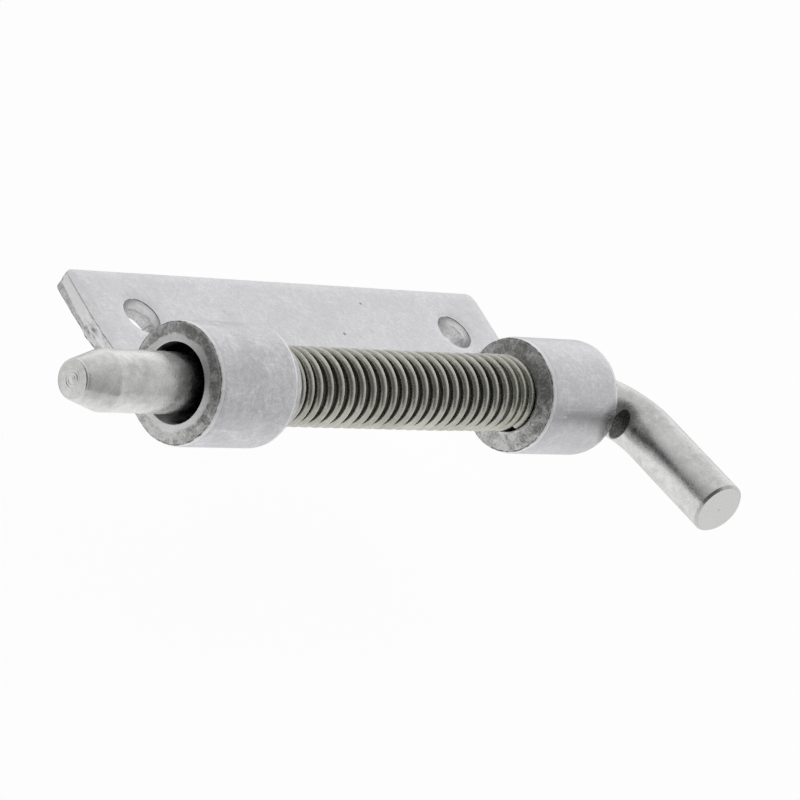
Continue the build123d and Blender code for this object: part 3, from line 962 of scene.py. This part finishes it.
bolt = {
    "tipX": -59.3,
    "tipRadius": 2.6,
    "tipDish": 0.12,             # the tip's face lies this far inside its rim
    "nub": (0.12, 0.34),         # left at its centre: height and width
    "smallest": 0.04,            # radius of the first ring of points
    "turnedRings": {"height": 0.042, "apart": 0.42, "crest": 0.78, "middle": 0.9, "spread": 0.5, "from": 0.3},
    "tipEdge": 0.22,             # rounding of the tip's rim
    "tipEdgeMiddle": (0.30, 0.20),       # its centre: behind the tip, and inside the tip's radius
    "coneLength": 4.9,
    "noseRadius": 4.0,
    "noseLength": 18.25,         # tip to the start of the taper
    "taperLength": 3.0,
    "shankRadius": 3.84,
    "grooveStart": 33.5,         # tip to the retaining ring's groove
    "grooveWidth": 0.9,
    "grooveRadius": 3.64,
    "bendStart": 100.58,         # tip to the bend
    "bendRadius": 8.1,
    "bendAngle": 95.2,           # degrees
    "handleTurn": 166.48,        # direction of the handle round X, from +Y
    "handleLength": 16.75,
    "handleRadius": 3.96,        # the handle shows a little thicker than the shank
    "endChamfer": 0.35,
    "endDimple": (0.10, 0.16),   # depth and width of the point at the handle's end
    "sides": 112,
    "steps": {"tip": 46, "edge": 6, "cone": 16, "nose": 24, "taper": 6, "shank": 50, "bend": 72,
              "handle": 26, "end": 28},
    "hiddenFrom": (34.1, 35.6),  # the rod's painted shade under the spring begins, from the tip; that part stays covered when the bolt slides
    "hiddenTo": (78.8, 80.3),    # and ends
    "handleDarker": 0.07,             # how much darker the handle is
    "handleDarkerFrom": (4.0, 10.0),  # where that begins, from the bend's start
    "sawn": 0.85,                # how rubbed the handle's end face looks
    "sawnNear": (0.2, 0.02),     # its points are this near the end, and this far inside the chamfer
    "rimRubbed": 0.6,            # and the tip's rim
    "rimAlong": (0.25, 0.45),    # where the rim ends, from the tip
    "rimInside": (-0.3, -0.1),   # where it begins, from the tip's radius
    "sharpAngle": 32.0,
}


def boltPath(walked):
    # straight along X, round the bend, then straight again; gives centre, tangent and the bend's inward side
    turn = np.radians(bolt["bendAngle"])
    angle = np.clip((walked - bolt["bendStart"]) / bolt["bendRadius"], 0.0, turn)
    before = np.minimum(walked, bolt["bendStart"])
    after = np.maximum(walked - bolt["bendStart"] - bolt["bendRadius"] * turn, 0.0)
    alongX = bolt["tipX"] + before + bolt["bendRadius"] * np.sin(angle) + after * np.cos(turn)
    aside = bolt["bendRadius"] * (1 - np.cos(angle)) + after * np.sin(turn)
    way = np.radians(bolt["handleTurn"])
    handleWay = np.array([0.0, np.cos(way), np.sin(way)])
    axis = np.array([1.0, 0.0, 0.0])
    centre = np.array([0.0, pinY, pinZ]) + alongX[:, None] * axis + aside[:, None] * handleWay
    tangent = np.cos(angle)[:, None] * axis + np.sin(angle)[:, None] * handleWay
    inward = -np.sin(angle)[:, None] * axis + np.cos(angle)[:, None] * handleWay
    return centre, tangent, inward


def tipFace():
    # flat but for a bell-shaped nub at its centre and round waves that fade away from their middle radius
    waves = bolt["turnedRings"]
    radii = np.linspace(bolt["smallest"], bolt["tipRadius"] - bolt["tipEdge"], bolt["steps"]["tip"])
    nubHeight, nubWidth = bolt["nub"]
    nub = nubHeight * np.exp(-(radii / nubWidth) ** 2)
    rings = waves["height"] * np.cos(fullTurn * (radii - waves["crest"]) / waves["apart"])
    rings = rings * np.exp(-((radii - waves["middle"]) / waves["spread"]) ** 2)
    return np.stack((bolt["tipDish"] - nub - rings * (radii > waves["from"]), radii), axis=1)


def boltProfile():
    # distance from the tip and radius, from the tip's centre to the handle's; the small numbers beside
    # a corner place the points that keep it crisp or round it off
    bend = np.radians(bolt["bendAngle"]) * bolt["bendRadius"]
    bendStart, bendEnd = bolt["bendStart"], bolt["bendStart"] + bend
    end = bendEnd + bolt["handleLength"]
    tip, nose, shank = bolt["tipRadius"], bolt["noseRadius"], bolt["shankRadius"]
    steps, rounding = bolt["steps"], bolt["tipEdge"]
    quarter = np.linspace(0, np.pi / 2, steps["edge"] + 1)[1:]
    behind, inside = bolt["tipEdgeMiddle"]
    tipEdge = np.stack((behind - rounding * np.cos(quarter),
                        tip - inside + rounding * np.sin(quarter)), axis=1)
    coneEnd, noseEnd = bolt["coneLength"], bolt["noseLength"]
    cone = np.linspace((0.5, tip + 0.12), (coneEnd - 0.35, nose - 0.10), steps["cone"])
    shoulder = [(coneEnd - 0.08, nose - 0.024), (coneEnd, nose - 0.003), (coneEnd + 0.08, nose)]
    body = np.linspace((coneEnd + 0.9, nose), (noseEnd, nose), steps["nose"])
    taperEnd = (noseEnd + bolt["taperLength"], shank)
    taper = np.linspace((noseEnd + 0.6, nose - 0.04), taperEnd, steps["taper"])
    cutFrom, groove = bolt["grooveStart"], bolt["grooveRadius"]
    cutTo = cutFrom + bolt["grooveWidth"]
    ringCut = [(cutFrom - 0.5, shank), (cutFrom - 0.04, shank), (cutFrom, shank - 0.03), (cutFrom, groove),
               (cutTo, groove), (cutTo, shank - 0.03), (cutTo + 0.04, shank), (cutTo + 0.5, shank)]
    middle = np.linspace((cutTo + 1.6, shank), (bendStart - 1.0, shank), steps["shank"])
    grip, chamfer = bolt["handleRadius"], bolt["endChamfer"]
    curved = np.linspace((bendStart, shank), (bendEnd, grip), steps["bend"])
    handle = np.linspace((bendEnd + 0.6, grip), (end - 0.7, grip), steps["handle"])
    endEdge = [(end - chamfer, grip), (end, grip - chamfer)]
    endRadii = np.linspace(grip - chamfer - 0.1, 0.05, steps["end"])
    dimpleDepth, dimpleWidth = bolt["endDimple"]
    endFace = np.stack((end - dimpleDepth * np.exp(-(endRadii / dimpleWidth) ** 2), endRadii), axis=1)
    return np.concatenate((tipFace(), tipEdge, cone, shoulder, body, taper, ringCut, middle, curved, handle,
                           endEdge, endFace))


def makeBolt():
    # rings of the profile's radius, square to the path, with a hub point at each end
    walked, radius = boltProfile().T
    centre, tangent, inward = boltPath(walked)
    rings, sides = len(walked), bolt["sides"]
    spoke = spokesRound(inward, np.cross(tangent, inward), sides)
    points = centre[:, None] + spoke * radius[:, None, None]
    points = np.concatenate((points.reshape(-1, 3), centre[[0, -1]]))
    # painted shade under the spring, and the darker handle
    springShade = ease(walked, *bolt["hiddenFrom"]) * (1 - ease(walked, *bolt["hiddenTo"]))
    handleDarker = bolt["handleDarker"] * ease(walked, *[bolt["bendStart"] + reach for reach in bolt["handleDarkerFrom"]])
    endNear, inside = bolt["sawnNear"]
    onEnd = (walked > walked[-1] - endNear) * (radius < bolt["handleRadius"] - bolt["endChamfer"] - inside)
    rimInside = ease(radius, *[bolt["tipRadius"] + reach for reach in bolt["rimInside"]])
    onRim = (1 - ease(walked, *bolt["rimAlong"])) * rimInside
    rubbed = bolt["sawn"] * onEnd + bolt["rimRubbed"] * onRim
    marks = {"springShadeAndDarkerHandle": np.append(np.repeat(springShade + handleDarker * (1 - onEnd), sides), [0, 0]),
             "rubbed": np.append(np.repeat(rubbed, sides), [0, 1])}
    return addPiece("boltRod", points, rodFaces(rings, sides), "bolt_body", "bolt", rodZinc,
                    marks, bolt["sharpAngle"])


makeBolt()


# Spring

spring = {
    "wire": 1.1,
    "outer": 10.7,
    "startX": -23.85,
    "endX": 25.75,
    "turns": 23.9,
    "pitchSteps": 4001,
    "leftTurns": 2.7,
    "rightTurns": 2.2,
    "endPitch": 1.68,
    "pitchChange": 0.3,          # turns on either side over which the pitch changes
    "endAngle": 197.0,           # degrees round X where the wire ends
    "perTurn": 60,
    "sides": 18,
    "cutShrink": 0.88,           # the wire's cut ends, against its thickness
    "cutOut": 0.05,
    "pressedUp": (0.135, 0.336),     # how far the coils sit off the axis: left end, right end
    "pressedFrom": 8.0,          # X at which that starts to grow
    "pressedWay": 67.0,          # and which way, in degrees round X
    "innerShadeFrom": (1.0, 1.7),     # painted shade on the coils' inside: 0 is their outside, 2 their inside
    "travel": 20.0,
    "squashAnchor": 25.8,        # X of the end that stays
    "squashSpare": 0.1,          # added to the length that the squash reckons with
}


def springLine(turn):
    # the wire's centre: a circle carried along X by the turns' pitch, closer at both ends
    first, last = spring["startX"] + spring["wire"] / 2, spring["endX"] - spring["wire"] / 2
    endTurns = spring["leftTurns"] + spring["rightTurns"]
    bodyPitch = (last - first - endTurns * spring["endPitch"]) / (spring["turns"] - endTurns)
    fine = np.linspace(0, spring["turns"], spring["pitchSteps"])
    bodyFrom, bodyTo = spring["leftTurns"], spring["turns"] - spring["rightTurns"]
    change = spring["pitchChange"]
    begun, ended = [ease(fine, at - change, at + change) for at in (bodyFrom, bodyTo)]
    pitch = spring["endPitch"] + (bodyPitch - spring["endPitch"]) * begun * (1 - ended)
    reached = np.concatenate(([0.0], np.cumsum((pitch[1:] + pitch[:-1]) / 2 * np.diff(fine))))
    x = first + np.interp(turn, fine, reached) * (last - first) / reached[-1]
    angle = np.radians(spring["endAngle"]) + fullTurn * (turn - spring["turns"])
    coil = (spring["outer"] - spring["wire"]) / 2
    leftUp, rightUp = spring["pressedUp"]
    shift = leftUp + (rightUp - leftUp) * ease(x, spring["pressedFrom"], spring["endX"])
    way = np.radians(spring["pressedWay"])
    return np.stack((x, pinY + coil * np.cos(angle) + shift * np.cos(way),
                     pinZ + coil * np.sin(angle) + shift * np.sin(way)), axis=1), angle


def makeSpring():
    # a round section carried along the helix, square to it, with a smaller ring and a hub at each cut end
    count = int(spring["turns"] * spring["perTurn"])
    centre, angle = springLine(np.linspace(0, spring["turns"], count))
    tangent = np.gradient(centre, axis=0)
    tangent /= np.linalg.norm(tangent, axis=1)[:, None]
    outward = np.stack((np.zeros(count), np.cos(angle), np.sin(angle)), axis=1)
    sideways = np.cross(tangent, outward)
    sideways /= np.linalg.norm(sideways, axis=1)[:, None]
    outward = np.cross(sideways, tangent)
    sides, radius = spring["sides"], spring["wire"] / 2
    spoke = spokesRound(outward, sideways, sides)
    tube = centre[:, None] + spoke * radius
    cutEnds = centre[[0, -1], None] + spoke[[0, -1]] * (radius * spring["cutShrink"])
    cutEnds[0] -= tangent[0] * spring["cutOut"]
    cutEnds[1] += tangent[-1] * spring["cutOut"]
    points = np.concatenate((cutEnds[0], tube.reshape(-1, 3), cutEnds[1], cutEnds.mean(axis=1)))
    rings = count + 2
    # the share of painted shade round each section of the wire
    fromOuter = 1 - np.cos(np.arange(sides) * fullTurn / sides)
    inner = np.append(np.tile(ease(fromOuter, *spring["innerShadeFrom"]), rings), [0.0, 0.0])
    piece = addPiece("coilSpring", points, rodFaces(rings, sides), "leaf_body", "spring",
                     springWire, {"inner": inner})
    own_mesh(piece)
    return piece


makeSpring()


# Washer and bushes

turned = {
    "sides": 96,
    "edgeSteps": 6,
    "washer": {"start": -24.9, "end": -23.9, "bore": 4.1, "outer": 6.5, "edge": 0.16},
    "noseBush": {"start": -35.4, "end": -26.4, "bore": 4.06, "outer": 5.08, "edge": 0.22},
    "handleBush": {"start": 31.2, "end": 40.2, "bore": 4.06, "outer": 5.08, "edge": 0.22},
}


def makeTube(name, size, body, node, material):
    # a rectangle with rounded corners, spun round the bolt's axis
    edge = size["edge"]
    left, right = size["start"] + edge, size["end"] - edge
    inner, outer = size["bore"] + edge, size["outer"] - edge
    corners = ((left, outer, np.pi), (right, outer, np.pi / 2),
               (right, inner, 0.0), (left, inner, -np.pi / 2))
    quarter = np.linspace(0, np.pi / 2, turned["edgeSteps"])
    profile = [np.stack((x + edge * np.cos(start - quarter), radius + edge * np.sin(start - quarter)), axis=1)
               for x, radius, start in corners]
    x, radius = np.concatenate(profile).T
    angle = np.arange(turned["sides"])[:, None] * fullTurn / turned["sides"]
    points = np.stack((x + 0 * angle, pinY + np.cos(angle) * radius, pinZ + np.sin(angle) * radius), axis=2)
    points = points.reshape(-1, 3)
    faces = [gridFaces(turned["sides"], len(x), loopRows=True, loopColumns=True)[:, ::-1]]
    marks = {"edgeAway": np.full(len(points), farAway)}          # so that the sheet's material shows no cut
    return addPiece(name, points, faces, body, node, material, marks)


makeTube("washerPlate", turned["washer"], "slider", "washer", sheetZinc)
makeTube("noseBush", turned["noseBush"], "leaf_body", "nose_bush", blackNylon)
makeTube("handleBush", turned["handleBush"], "leaf_body", "handle_bush", blackNylon)
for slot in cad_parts["retaining_ring"].material_slots:
    slot.material = springWire
print("washer, bushes and retaining ring done")


# Floor, light and camera

photoView = {
    "lens": 197.36,
    "sensor": 36.0,
    "clip": (0.01, 20.0),
    "place": (-0.44416, -0.26692, 0.29696),
    "right": (0.64930, -0.47108, 0.59706),
    "up": (-0.02184, 0.77319, 0.63380),
}

studio = {
    "floorZ": -0.0205,           # clears the handle when it is turned down
    "floorHalf": 3.0,
    "floorPaint": (0.86, 0.86, 0.86, 1),
    "floorWhite": 1.06,          # the floor's own glow as the camera sees it
    "shadowShare": 0.12,         # how much of the floor's own shading the camera sees
    "floorGlow": (1.0, 0.74),    # the floor as the metal reflects it: under the object, far from it
    "pool": {"place": (0.0, -0.012, 0.0), "squeeze": (0.6, 1.0, 0.0), "near": 0.015, "far": 0.075},
    "walls": {                   # light from each side of the tent, as the photo's viewer sees it
        "right": 0.62, "left": 0.16, "above": 0.74, "below": 0.15, "behind": 1.30, "front": 0.36,
    },
    "viewerShade": 0.12,         # the dim patch round the viewer
    "shadeEdge": (0.44, 0.74),   # cosines between which it begins
}


def emission(tree, strength, kind="ShaderNodeEmission"):
    # white light of one strength, from a surface or from the sky
    return addNode(tree, kind, Color=(1, 1, 1, 1), Strength=strength).outputs[0]


def mixShaders(tree, share, first, second):
    # the first shader, or the second where the share is 1
    return addNode(tree, "ShaderNodeMixShader", _0=share, _1=first, _2=second).outputs[0]


def makeFloor():
    # one square; the camera sees it nearly white with a soft shadow, the metal sees a pool of light,
    # and from below it is clear
    half, z = studio["floorHalf"], studio["floorZ"]
    mesh = bpy.data.meshes.new("floor")
    corners = [(-half, -half, z), (half, -half, z), (half, half, z), (-half, half, z)]
    mesh.from_pydata(corners, [], [(0, 1, 2, 3)])
    material, tree = emptyMaterial("paleFloor")
    path = addNode(tree, "ShaderNodeLightPath").outputs
    paint = addNode(tree, "ShaderNodeBsdfDiffuse", Color=studio["floorPaint"]).outputs[0]
    # a pool of light under the object, wider along X
    pool = studio["pool"]
    away = vectorCalc(tree, "SUBTRACT", objectPosition(tree), pool["place"])
    away = vectorCalc(tree, "LENGTH", vectorCalc(tree, "MULTIPLY", away, pool["squeeze"]), output="Value")
    level = remap(tree, away, pool["near"], pool["far"], *studio["floorGlow"], kind="SMOOTHSTEP")
    share = times(tree, path["Is Camera Ray"], 1 - studio["shadowShare"])
    shown = mixShaders(tree, share, paint, emission(tree, studio["floorWhite"]))
    mirrored = calc(tree, "MAXIMUM", path["Is Glossy Ray"], path["Is Transmission Ray"])
    shown = mixShaders(tree, mirrored, shown, emission(tree, level))
    below = addNode(tree, "ShaderNodeNewGeometry").outputs["Backfacing"]
    shown = mixShaders(tree, below, shown, addNode(tree, "ShaderNodeBsdfTransparent").outputs[0])
    addNode(tree, "ShaderNodeOutputMaterial", Surface=shown)
    mesh.materials.append(material)
    floor = bpy.data.objects.new("floor", mesh)
    bpy.context.scene.collection.objects.link(floor)


def makeSky():
    # a white tent of six walls: each gives its level times the square of how far a direction
    # points to it, and the squares of a direction's three parts add up to one
    world = bpy.data.worlds.new("studioSky")
    world.use_nodes = True
    tree = world.node_tree
    tree.nodes.clear()
    way = addNode(tree, "ShaderNodeTexCoord").outputs["Generated"]
    right, up = Vector(photoView["right"]), Vector(photoView["up"])
    axes = (("right", right), ("left", -right), ("above", up), ("below", -up),
            ("behind", up.cross(right)), ("front", right.cross(up)))
    light = 0.0
    for wall, axis in axes:
        toward = vectorCalc(tree, "DOT_PRODUCT", way, axis.normalized(), "Value")
        facing = calc(tree, "POWER", calc(tree, "MAXIMUM", toward, 0.0), 2.0)
        light = plus(tree, light, times(tree, facing, studio["walls"][wall]))
    # the last wall is the front one, so its cosine also places the dim patch
    shade = remap(tree, toward, *studio["shadeEdge"], kind="SMOOTHSTEP")
    kept = times(tree, light, calc(tree, "SUBTRACT", 1.0, shade))
    light = plus(tree, kept, times(tree, shade, studio["viewerShade"]))
    seen = addNode(tree, "ShaderNodeLightPath").outputs["Is Camera Ray"]
    tent, white = [emission(tree, strength, "ShaderNodeBackground") for strength in (light, 1.0)]
    addNode(tree, "ShaderNodeOutputWorld", Surface=mixShaders(tree, seen, tent, white))
    bpy.context.scene.world = world


def makeCamera():
    # the camera's turn has its right, up and backward directions as columns
    data = bpy.data.cameras.new("photoCamera")
    data.lens, data.sensor_width = photoView["lens"], photoView["sensor"]
    data.clip_start, data.clip_end = photoView["clip"]
    camera = bpy.data.objects.new("photoCamera", data)
    right = Vector(photoView["right"]).normalized()
    up = Vector(photoView["up"])
    up = (up - right * up.dot(right)).normalized()
    turn = Matrix((right, up, right.cross(up))).transposed()
    camera.matrix_world = Matrix.LocRotScale(Vector(photoView["place"]), turn.to_quaternion(), None)
    bpy.context.scene.collection.objects.link(camera)
    bpy.context.scene.camera = camera


makeFloor()
makeSky()
makeCamera()
bpy.context.scene.view_settings.view_transform = "Standard"
print("floor, light and camera set")
